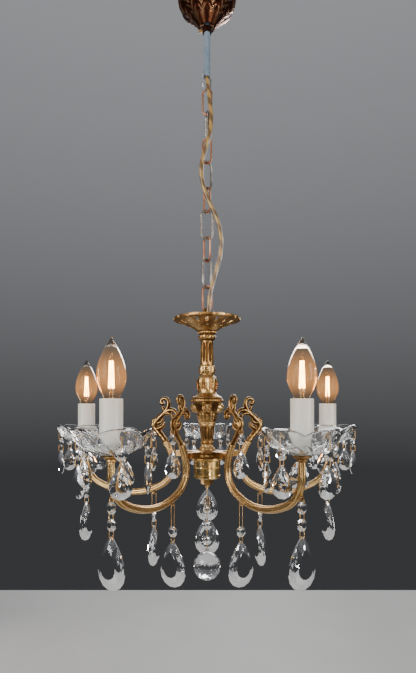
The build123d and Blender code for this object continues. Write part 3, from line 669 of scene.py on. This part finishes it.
strips = [
    ([(67, 13.5), (71, 19), (78, 27), (84, 34.5), (87.5, 40.5), (86, 46), (81.5, 47.5), (79.5, 44.5)],
     (3.4, 3.2, 3.6, 3.4, 3.0, 2.4, 2.0, 2.6), 0.16),
    ([(77, 26), (84, 34.5), (83.5, 42.5), (76.5, 50), (69, 57), (64, 64), (62, 71), (64, 77.5), (69.5, 79.5),
      (74, 76.3), (72.6, 71.6), (69, 72.6)],
     (2.2, 3.2, 3.5, 3.5, 3.4, 3.0, 2.8, 2.6, 2.3, 2.0, 2.0, 2.6), 0.16),
    ([(72, 53), (66, 58.5), (59.5, 61.5), (52.5, 60), (49, 55), (50.5, 49.8), (55.5, 50.2), (55.5, 54.5)],
     (2.0, 3.0, 3.0, 2.6, 2.2, 1.9, 1.8, 2.4), 0.16),
    ([(70, 56), (64.5, 56.5), (59, 56), (56.5, 52.5)], (1.6, 2.4, 2.0, 0.9), 0.1),
    ([(81, 33), (75.5, 34.5), (70.5, 38), (68.5, 43)], (2.0, 2.8, 2.2, 0.7), 0.25),
    ([(83, 42), (77.5, 42), (73, 45), (71.5, 49)], (1.8, 2.4, 1.9, 0.7), 0.25),
    ([(67, 60), (70.5, 64), (72, 68)], (1.8, 2.0, 0.7), 0.2),
]
for n, heading in enumerate(ARM_HEADINGS, 1):
    leaves = [leaf_strip(smooth_line(line, 60), widths, lobes) for line, widths, lobes in strips]
    wear = [value for _, worn in leaves for value in worn]
    points, faces = add_eye(*joined([leaf for leaf, _ in leaves]), scroll_eye, "y")
    wear += [0.6] * (len(points) - len(wear))
    scroll = new_piece(f"leaf_scroll_{n}", raise_points(points, heading), faces, worn_brass, wear)
    lamp_piece(scroll, f"scroll_{n}")
print(len(strips), "leaves in a scroll")

# %% [markdown]
# Each pan is pressed glass with five pointed petals, notched between them, with swirling ribs
# underneath. Its meridians climb the same outline, and each stops at its petal's own rim.


# %% Glass pans
NOTCH_DEPTH = 8.0


def pan_skin(notch_turn):
    outline = smooth_line([(5.6, -31), (14, -31), (25, -27), (37, -20), (43.5, -10), (48, 0)], 60)
    columns, rows = 200, 34
    angles = np.linspace(0, 2 * math.pi, columns, endpoint=False)
    u = np.abs(((np.degrees(angles) - notch_turn) % 72) / 36 - 1)
    rim = -NOTCH_DEPTH * u ** 2.2
    outer = np.zeros((rows, columns, 3))
    inner = np.zeros((rows, columns, 3))
    for j, a in enumerate(angles):
        stop = np.interp(rim[j], outline[:, 1], np.linspace(0, 1, 60))
        at = np.linspace(0, stop, rows)
        r = np.interp(at, np.linspace(0, 1, 60), outline[:, 0])
        z = np.interp(at, np.linspace(0, 1, 60), outline[:, 1])
        swirl = np.cos(15 * a + 0.11 * r * math.pi)
        push = 0.55 * swirl * np.clip((r - 15) / 6, 0, 1) * np.clip((rim[j] - z) / 4, 0, 1)
        petal = 1.0 * (1 - u[j]) * np.clip((r - 26) / 14, 0, 1)
        slope = np.gradient(z, edge_order=2), np.gradient(r, edge_order=2)
        size = np.hypot(*slope) + 1e-9
        nr, nz = slope[0] / size, -slope[1] / size
        for side, off in ((outer, push + petal - 1.0), (inner, petal - 1.0 - 3.2)):
            rr, zz = r + off * nr, z + off * nz
            side[:, j] = np.stack([rr * math.cos(a), rr * math.sin(a), zz], 1)
    rings = np.concatenate([outer, inner[::-1]])
    faces = grid_faces(2 * rows, columns)
    for j in range(columns):
        k, last = (j + 1) % columns, (2 * rows - 1) * columns
        faces.append((last + j, last + k, k, j))
    return rings.reshape(-1, 3), faces


for n, (heading, turn) in enumerate(zip(ARM_HEADINGS, PAN_TURNS), 1):
    points, faces = pan_skin(turn + 36)
    place = about_z([[REACH, 0, PAN_TOP]], heading)[0]
    lamp_piece(new_piece(f"glass_pan_{n}", points * MM + place, faces, pressed_glass), f"pan_{n}")
print(n, "glass pans")

# %% [markdown]
# A candle bulb has a thin clear envelope, a cap hidden in its holder, a glass stem and four
# upright glowing rods. The envelope has an inner skin too, so that light crosses real glass.


# %% Bulbs
def ring_stack(outline, columns):
    a = np.linspace(0, 2 * math.pi, columns, endpoint=False)
    return [np.stack([r * np.cos(a), r * np.sin(a), np.full(columns, z)], 1) for r, z in outline]


def rod(start, end, radius, columns=10):
    """A round rod with domed ends between two points, in millimetres."""
    start, end = np.array(start, float), np.array(end, float)
    axis = (end - start) / np.linalg.norm(end - start)
    side = np.cross(axis, (0, 1, 0.01))
    side /= np.linalg.norm(side)
    up = np.cross(axis, side)
    a = np.linspace(0, 2 * math.pi, columns, endpoint=False)
    rings = []
    ends = ((0, 0.5), (0.3 * radius, 0.9), (radius, 1), (-radius, 1), (-0.3 * radius, 0.9), (0, 0.5))
    for along, r in ends:
        base = start + axis * along if len(rings) < 3 else end + axis * along
        rings.append(base + radius * r * (np.outer(np.cos(a), side) + np.outer(np.sin(a), up)))
    return skin(rings)


envelope = smooth_line([(6.9, -7.5), (8.0, -3), (9.8, 2), (13.4, 10), (16.6, 18), (17.35, 26), (16.3, 36),
                        (13.0, 47), (8.6, 57), (5.0, 63), (2.6, 67), (0.9, 70.2), (0.1, 70.6)], 70)
inside = [(max(r - 0.6, 0.05), z) for r, z in envelope if z < 60] + [(2.6, 62.0), (0.1, 63.0)]
shell_out, shell_in = skin(ring_stack(envelope, 56)), skin(ring_stack(inside, 56))
shell_in = (shell_in[0], [face[::-1] for face in shell_in[1]])


def round_post(radius, angle, z):
    return (radius * math.cos(angle), radius * math.sin(angle), z)


rod_angles = np.radians([20, 110, 200, 290])
rods = [rod(round_post(3.2, a, 12), round_post(2.0, a + 0.9, 44), 0.85) for a in rod_angles]
leads = [rod(round_post(2.2, a, 2), round_post(3.2, a, 12), 0.3, 6) for a in rod_angles]
stem = skin(ring_stack([(0.2, -8), (4.6, -8), (3.4, -3), (2.2, 2), (1.8, 7), (0.9, 9.5), (0.2, 10)], 24))
cap = skin(ring_stack([(0.3, -28), (4.0, -28), (6.7, -25), (6.9, -9), (6.9, -7.6), (0.3, -7.6)], 32))
kit = {
    "bulb_envelope": (joined([shell_out, shell_in]), bulb_glass), "bulb_rods": (joined(rods), rod_glow),
    "bulb_leads": (joined(leads), steel), "bulb_stem": (stem, bulb_glass), "bulb_cap": (cap, steel),
}
for n, heading in enumerate(ARM_HEADINGS, 1):
    place = about_z([[REACH, 0, SLEEVE_TOP]], heading)[0]
    for name, ((points, faces), material) in kit.items():
        piece = new_piece(f"{name}_{n}", about_z(points * MM, heading) + place, faces, material)
        lamp_piece(piece, f"bulb_{n}")
print(len(kit) * len(ARM_HEADINGS), "bulb pieces")

# %% [markdown]
# Crystals sparkle because each facet is flat and faces its own way, so they are shaded flat.
# A stone is cut from rings of corners on both sides of its girdle, up to a flat table.


# %% Cut stones
def cut_stone(outline, thickness, girdle, steps):
    """outline: closed (y, z) corners; steps: (share of the outline, share of the thickness)."""
    corners = np.array(outline, float)
    centre = corners.mean(0)
    count, rings = len(corners), []
    levels = [(1.0, girdle / thickness), *steps]
    for share, out in [(s, -o) for s, o in levels[::-1]] + levels:
        ring = corners
        if share in [s for s, _ in steps[::2]]:
            ring = (corners + np.roll(corners, -1, axis=0)) / 2
        flat = centre + (ring - centre) * share
        rings.append(np.column_stack([np.full(count, out * thickness / 2), flat]))
    verts, faces = np.concatenate(rings), []
    half = {i for i, (s, _) in enumerate([*levels[::-1], *levels]) if s in [t for t, _ in steps[::2]]}
    for i in range(len(rings) - 1):
        for j in range(count):
            a, b = i * count + j, i * count + (j + 1) % count
            c, d = a + count, b + count
            if i in half and i + 1 not in half:
                faces += [(a, d, c), (a, b, d)]
            elif i + 1 in half and i not in half:
                faces += [(a, b, c), (b, d, c)]
            else:
                faces.append((a, b, d, c))
    last = (len(rings) - 1) * count
    faces.append(tuple(range(count))[::-1])
    faces.append(tuple(last + j for j in range(count)))
    return verts, faces


def pear_outline(length, width, count, hole=2.2, sharp=0.85):
    """A pear with its point up; z = 0 is its hole."""
    a = (np.arange(count) + 0.5) / count * 2 * math.pi
    y = np.sin(a) * np.abs(np.sin(a / 2)) ** sharp
    y *= width / 2 / np.abs(y).max()
    return np.column_stack([y, hole - length / 2 + length / 2 * np.cos(a)])


def octagon_outline(radius, hole=2.2):
    a = np.radians(22.5 + 45 * np.arange(8))
    r = radius / math.cos(math.radians(22.5))
    return np.column_stack([r * np.sin(a), hole - radius + r * np.cos(a)])


def faceted_ball(radius, centre, columns=14, rows=10):
    rings = []
    for i in range(1, rows):
        a = math.pi * i / rows
        b = np.linspace(0, 2 * math.pi, columns, endpoint=False) + (i % 2) * math.pi / columns
        rings.append(np.stack([radius * math.sin(a) * np.cos(b), radius * math.sin(a) * np.sin(b),
                               np.full(columns, centre - radius * math.cos(a))], 1))
    points, _ = skin(rings)
    points[-2] = (0, 0, centre - radius)
    points[-1] = (0, 0, centre + radius)
    faces = []
    for i in range(rows - 2):
        for j in range(columns):
            a, b = i * columns + j, i * columns + (j + 1) % columns
            c, d = a + columns, b + columns
            faces += [(a, b, c), (b, d, c)] if i % 2 else [(a, b, d), (a, d, c)]
    start, end, last = len(points) - 2, len(points) - 1, (rows - 2) * columns
    for j in range(columns):
        k = (j + 1) % columns
        faces += [(start, k, j), (end, last + j, last + k)]
    return points, faces


small_pear = cut_stone(pear_outline(38, 26, 14), 9, 1.0,
                       [(0.80, 0.50), (0.56, 0.80), (0.30, 0.96), (0.10, 1.0)])
large_pear = cut_stone(pear_outline(63, 41, 18), 13, 1.6, [(0.88, 0.42), (0.74, 0.74), (0.56, 1.0)])
octagon = cut_stone(octagon_outline(7), 7, 1.4, [(0.84, 0.50), (0.46, 1.0)])
ball = faceted_ball(21, -24)
neck = cut_stone([(2.6, 1.8), (2.6, -4.5), (-2.6, -4.5), (-2.6, 1.8)], 4, 2.4, [(0.8, 1.0)])
print("a large pear has", len(large_pear[1]), "faces")


# %% [markdown]
# The crystals hang on loops of bent brass wire, one hole to the next. A strand is listed from
# its eye down, as its maker would thread it, and the same list makes glass and wire.


# %% Threading a strand
def wire(points, radius=0.5, columns=8):
    """Round wire through corner points in the XZ plane."""
    line = np.array(points, float)
    eased = [line[0]]
    for a, b, c in zip(line, line[1:], line[2:]):
        reach = min(1.2, 0.45 * np.linalg.norm(b - a), 0.45 * np.linalg.norm(c - b))
        p = b + (a - b) / np.linalg.norm(a - b) * reach
        q = b + (c - b) / np.linalg.norm(c - b) * reach
        eased += [(1 - t) ** 2 * p + 2 * t * (1 - t) * b + t * t * q for t in np.linspace(0, 1, 5)]
    eased.append(line[-1])
    angles = np.linspace(0, 2 * math.pi, columns, endpoint=False)
    eased = np.array(eased)
    ahead = np.gradient(eased, axis=0)
    ahead /= np.linalg.norm(ahead, axis=1)[:, None]
    rings = []
    for point, t in zip(eased, ahead):
        xz = point + np.outer(radius * np.cos(angles), (-t[1], t[0]))
        rings.append(np.stack([xz[:, 0], radius * np.sin(angles), xz[:, 1]], 1))
    return skin(rings)


def loop(span, half=3.4):
    return wire([(0.15, 0), (half, 0), (half, -span), (-half, -span), (-half, 0), (-0.15, 0)])


BEAD_STEP = 9.6
LOOP = 4.8


def thread(items, eye_z, across=0):
    """The glass and the wire of a strand that hangs at x = 0, in millimetres."""
    stones, wires, z = [], [], eye_z - 0.7
    for item in items:
        if item == "turn":
            z, across = z + 1.3, 90 - across
        elif isinstance(item, float):
            points, faces = loop(item)
            wires.append((about_z(points, across) + (0, 0, z), faces))
            z -= item
        else:
            for points, faces in item:
                stones.append((points + (0, 0, z), faces))
            z -= BEAD_STEP
    return joined(stones), joined(wires)


def hang(name, strand, body, heading, reach, nodes, lift=SPIDER):
    """Makes a strand's two pieces, turned to face along its arm."""
    for part, (points, faces), material in (("glass", strand[0], crystal), ("pins", strand[1], pin_brass)):
        shifted = points * MM + (reach * MM, 0, lift)
        piece = new_piece(f"{name}_{part}", about_z(shifted, heading), faces, material, smooth=part == "pins")
        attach(piece, body)
        if nodes:
            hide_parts(*nodes)


bead = [octagon]
candle_strand = thread([LOOP, bead, 10.0, bead, 9.9, [large_pear]], candle_eye[2])
arm_strand = thread([32.3, bead, 9.4, [large_pear]], arm_eye[2])
centre_strand = thread([19.2, "turn", 19.2, "turn", 19.2, bead, 13.0, bead, 9.6, [ball, neck]], -1.5)
for n, heading in enumerate(ARM_HEADINGS, 1):
    candle_node, arm_node = f"candle_strand_{n}", f"arm_strand_{n}"
    hang(f"candle_drop_{n}", candle_strand, candle_node, heading, ARM_REACH, [candle_node])
    hang(f"arm_drop_{n}", arm_strand, arm_node, heading, ARM_EYE_X, [arm_node])
hang("centre_drop", centre_strand, "centre_strand", -90, 0, ["centre_strand"],
     lift=SPIDER - 49.5 * MM)
print("eleven strands threaded")

# %% [markdown]
# Twenty-five small drops hang round the pans. What repeats round a ring is a job for Geometry
# Nodes: one tree puts copies of a unit on a circle of points, each turned to face outwards,
# and its named inputs set how many, how far out and where the first one is.


# %% A ring of copies
def ring_tree():
    tree = bpy.data.node_groups.new("ring_of_copies", "GeometryNodeTree")
    for name, kind in (("Unit", "NodeSocketObject"), ("Count", "NodeSocketInt"),
                       ("Radius", "NodeSocketFloat"), ("Start", "NodeSocketFloat"),
                       ("Height", "NodeSocketFloat"), ("Finish", "NodeSocketMaterial")):
        tree.interface.new_socket(name, in_out="INPUT", socket_type=kind)
    tree.interface.new_socket("Geometry", in_out="OUTPUT", socket_type="NodeSocketGeometry")
    new, link = tree.nodes.new, tree.links.new
    given, result = new("NodeGroupInput"), new("NodeGroupOutput")
    points, index = new("GeometryNodePoints"), new("GeometryNodeInputIndex")
    place = new("ShaderNodeCombineXYZ")
    turn, spin = new("ShaderNodeMath"), new("ShaderNodeCombineXYZ")
    angle, cosine, sine = new("ShaderNodeMath"), new("ShaderNodeMath"), new("ShaderNodeMath")
    x, y = new("ShaderNodeMath"), new("ShaderNodeMath")
    unit, copies = new("GeometryNodeObjectInfo"), new("GeometryNodeInstanceOnPoints")
    real, finish = new("GeometryNodeRealizeInstances"), new("GeometryNodeSetMaterial")
    turn.operation, cosine.operation, sine.operation = "DIVIDE", "COSINE", "SINE"
    x.operation = y.operation = "MULTIPLY"
    angle.operation = "MULTIPLY_ADD"
    turn.inputs[0].default_value = 2 * math.pi
    link(given.outputs["Count"], turn.inputs[1])
    link(index.outputs[0], angle.inputs[0])
    link(turn.outputs[0], angle.inputs[1])
    link(given.outputs["Start"], angle.inputs[2])
    for wave, scaled, axis in ((cosine, x, "X"), (sine, y, "Y")):
        link(angle.outputs[0], wave.inputs[0])
        link(wave.outputs[0], scaled.inputs[0])
        link(given.outputs["Radius"], scaled.inputs[1])
        link(scaled.outputs[0], place.inputs[axis])
    link(given.outputs["Height"], place.inputs["Z"])
    link(angle.outputs[0], spin.inputs["Z"])
    link(given.outputs["Count"], points.inputs["Count"])
    link(place.outputs[0], points.inputs["Position"])
    link(given.outputs["Unit"], unit.inputs["Object"])
    link(points.outputs[0], copies.inputs["Points"])
    link(unit.outputs["Geometry"], copies.inputs["Instance"])
    link(spin.outputs[0], copies.inputs["Rotation"])
    link(copies.outputs[0], real.inputs[0])
    link(real.outputs[0], finish.inputs["Geometry"])
    link(given.outputs["Finish"], finish.inputs["Material"])
    link(finish.outputs[0], result.inputs[0])
    return tree


ring_of_copies = ring_tree()


def ring(name, unit, material, count, radius, start, height, middle=(0, 0)):
    """A plain mesh of copies of a unit round a circle, with its place in its vertices."""
    holder = bpy.data.objects.new(name, bpy.data.meshes.new(name))
    bpy.context.scene.collection.objects.link(holder)
    modifier = holder.modifiers.new("ring", "NODES")
    modifier.node_group = ring_of_copies
    sockets = {s.name: s.identifier for s in ring_of_copies.interface.items_tree if s.in_out == "INPUT"}
    for key, value in (("Unit", unit), ("Count", count), ("Radius", radius), ("Start", math.radians(start)),
                       ("Height", height), ("Finish", material)):
        modifier[sockets[key]] = value
    bpy.context.view_layer.update()
    done = bpy.data.meshes.new_from_object(holder.evaluated_get(bpy.context.evaluated_depsgraph_get()))
    holder.modifiers.clear()
    holder.data = done
    for vertex in done.vertices:
        vertex.co.x += middle[0]
        vertex.co.y += middle[1]
    return holder


def unit_of(name, points, faces, smooth):
    return new_piece(name, points * MM, faces, crystal, smooth=smooth)


hook_out = 48 - 8 * 11 / 20 + 1.7
bead_drop = -21.7
pan_glass, _ = thread([bead, 8.9, [small_pear]], bead_drop + 0.7)
scroll_glass, _ = thread([4.4, "turn", 4.3, bead, 12.5, [small_pear]], scroll_eye[2], 90)
pendant = unit_of("pendant_unit", *pan_glass, smooth=False)
for n, (heading, turn) in enumerate(zip(ARM_HEADINGS, PAN_TURNS), 1):
    middle = about_z([[REACH, 0, 0]], heading)[0]
    drops = ring(f"pan_drops_{n}", pendant, crystal, PETALS, (hook_out - 3.4) * MM, turn, PAN_TOP, middle)
    lamp_piece(drops, "small_drops")
    shifted = about_z(scroll_glass[0] * MM + (ARM_EYE_X * MM, 0, SPIDER), heading)
    lamp_piece(new_piece(f"scroll_drop_{n}", shifted, scroll_glass[1], crystal, smooth=False), "small_drops")
bead_rows = ((16, 47.6, top_of["gallery"] - 1.0 * MM, 1.5, "gallery_beads"),
             (22, 12.9, top_of["capital"] - 2.2 * MM, 1.3, "capital_beads"),
             (26, 22.9, top_of["hub_cup"] - 3.6 * MM, 1.1, "hub_beads"))
units = []


def eyelet(length, width, wire_r, tilt):
    """The raised rim of an oval window: a closed ring of wire, tilted to lie on a slope."""
    a = np.linspace(0, 2 * math.pi, 24, endpoint=False)
    b = np.linspace(0, 2 * math.pi, 10, endpoint=False)
    rings = []
    for angle in a:
        out = np.array([math.cos(angle), math.sin(angle)])
        centre = np.array([length / 2 * out[0], width / 2 * out[1]])
        xy = centre + wire_r * np.outer(np.cos(b), out)
        rings.append(np.column_stack([xy, wire_r * np.sin(b)]))
    points = np.concatenate([*rings, rings[0]])
    turn = np.array([[math.cos(tilt), 0, -math.sin(tilt)], [0, 1, 0], [math.sin(tilt), 0, math.cos(tilt)]])
    return points @ turn.T, grid_faces(25, 10)


DISH_SLOPE = math.radians(24.5)
dish_floor = bottom_of["gallery"] + 6.2 * MM
windows = ((16, 37.0, eyelet(13.4, 7.4, 1.15, DISH_SLOPE), 0.0, "long_windows"),
           (12, 25.0, eyelet(7.2, 7.2, 1.1, DISH_SLOPE), 0.0, "round_windows"))
for count, radius, (points, faces), start, name in windows:
    rim = unit_of(f"{name}_unit", points, faces, smooth=True)
    units.append(rim)
    height = dish_floor + (radius - 22) * math.tan(DISH_SLOPE) * MM
    rims = ring(name, rim, worn_brass, count, radius * MM, start, height)
    rims.data.attributes.new("wear", "FLOAT", "POINT").data.foreach_set(
        "value", np.full(len(rims.data.vertices), 0.8, np.float32))
    lamp_piece(rims)
for count, radius, height, size, name in bead_rows:
    dome = unit_of(f"{name}_unit", *faceted_ball(size, 0, 12, 8), smooth=True)
    units.append(dome)
    beads = ring(name, dome, worn_brass, count, radius * MM, 11.25, height)
    beads.data.attributes.new("wear", "FLOAT", "POINT").data.foreach_set(
        "value", np.full(len(beads.data.vertices), 0.9, np.float32))
    lamp_piece(beads)
for unit in [pendant, *units]:
    bpy.data.objects.remove(unit)
print("pan drops and bead rows hung")

# %% [markdown]
# The flex leaves the tube, weaves down beside the chain and goes into the column's head. It is
# a tube round a smooth NURBS line.

# %% The flex
FLEX_POINTS = [
    (0, 0, -128), (0, 0, -144), (2.2, -7, -163), (4, -11.5, -184), (6.5, -13.5, -206),
    (5, -13.5, -232), (-3, -12.5, -258), (-9.5, -12.5, -282), (-7, -12.5, -308), (3, -12.5, -334),
    (15, -12.5, -358), (21.5, -12.5, -386), (20, -12.5, -414), (12, -12.5, -440),
    (4, -10, -468), (1.5, -8.9, -496), (1.5, -8.9, -524),
]
route = bpy.data.curves.new("flex_route", "CURVE")
route.dimensions = "3D"
route.resolution_u = 12
spline = route.splines.new("NURBS")
spline.points.add(len(FLEX_POINTS) - 1)
for control, point in zip(spline.points, FLEX_POINTS):
    control.co = (*[c * MM for c in point], 1)
spline.order_u = 3
spline.use_endpoint_u = True
route_object = bpy.data.objects.new("flex_route", route)
followed = bpy.data.meshes.new_from_object(route_object)
flex_line = np.array([v.co for v in followed.vertices])
bpy.data.objects.remove(route_object)


def round_tube(line, radius, columns=18):
    """Rings round a line in space; each ring's frame is carried on from the last."""
    ahead = np.gradient(line, axis=0)
    ahead /= np.linalg.norm(ahead, axis=1)[:, None]
    side = np.array([1.0, 0, 0])
    a = np.linspace(0, 2 * math.pi, columns, endpoint=False)
    rings = []
    for point, t in zip(line, ahead):
        side = side - t * (side @ t)
        side /= np.linalg.norm(side)
        rings.append(point + radius * (np.outer(np.cos(a), side) + np.outer(np.sin(a), np.cross(t, side))))
    return rings


flex_points, flex_faces = skin(round_tube(flex_line, 3 * MM))
flex = new_piece("gold_flex", flex_points, [face[::-1] for face in flex_faces], flex_gold)
run = np.concatenate([[0], np.cumsum(np.linalg.norm(np.diff(flex_line, axis=0), axis=1))])
uv = flex.data.uv_layers.new(name="along")
for polygon in flex.data.polygons:
    for index in polygon.loop_indices:
        vertex = flex.data.loops[index].vertex_index
        row, column = divmod(min(vertex, len(run) * 18 - 1), 18)
        uv.data[index].uv = (run[row], column / 18)
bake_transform(flex)
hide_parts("flex")
print("flex", round(float(run[-1]), 3), "m")

# %% [markdown]
# A broad soft light over each shoulder and one behind make a quiet studio over a pale floor.
# Crystal needs something dark and something bright to show, so the backdrop darkens towards
# the bottom and four small warm lights put sparkles in the facets.


# %% Studio
def panel(name, place, aim, size, power, colour=(1, 1, 1)):
    light = bpy.data.lights.new(name, "AREA")
    light.shape = "RECTANGLE"
    light.size, light.size_y, light.energy, light.color = *size, power, colour
    lamp = bpy.data.objects.new(name, light)
    bpy.context.scene.collection.objects.link(lamp)
    lamp.location = place
    direction = np.array(aim) - np.array(place)
    lamp.rotation_euler = (math.acos(-direction[2] / np.linalg.norm(direction)), 0,
                           math.atan2(direction[1], direction[0]) - math.pi / 2)


LAMP_MIDDLE = (0, 0, -0.65)
SPARKLES = [(-0.55, -1.1, -0.35), (0.6, -1.2, -0.95), (0.1, -1.3, -0.1), (-0.9, 0.6, -1.0)]
panel("left_light", (-1.3, -1.2, -0.1), LAMP_MIDDLE, (0.9, 1.2), 27)
panel("right_light", (1.5, -0.9, -0.3), LAMP_MIDDLE, (0.5, 1.2), 19)
panel("back_light", (0.3, 1.6, 0.1), LAMP_MIDDLE, (1.2, 0.8), 24)
for number, place in enumerate(SPARKLES):
    panel(f"sparkle_{number}", place, (0, 0, -0.75), (0.09, 0.09), 1.6, (1.0, 0.93, 0.82))
world = bpy.data.worlds.new("studio")
world.use_nodes = True
sky = world.node_tree
backdrop = sky.nodes["Background"]
split, ramp = sky.nodes.new("ShaderNodeSeparateXYZ"), sky.nodes.new("ShaderNodeMapRange")
for slot, value in zip(ramp.inputs[1:5], (-0.1, 0.9, 0.045, 0.42)):
    slot.default_value = value
sky.links.new(sky.nodes.new("ShaderNodeTexCoord").outputs["Generated"], split.inputs[0])
sky.links.new(split.outputs["Z"], ramp.inputs["Value"])
sky.links.new(ramp.outputs[0], backdrop.inputs["Strength"])
backdrop.inputs["Color"].default_value = (0.93, 0.95, 1.0, 1)
bpy.context.scene.world = world
floor_size, floor_z = 1.1, -1.30
floor = new_piece("floor", [(-floor_size, -floor_size, floor_z), (floor_size, -floor_size, floor_z),
                            (floor_size, floor_size, floor_z), (-floor_size, floor_size, floor_z)],
                  [(0, 1, 2, 3)],
                  painted("floor", rgb(0.40, 0.395, 0.385), rgb(0.44, 0.435, 0.425), 0.6, 3.0))
print(3 + len(SPARKLES), "lights over a floor at", floor_z, "m")
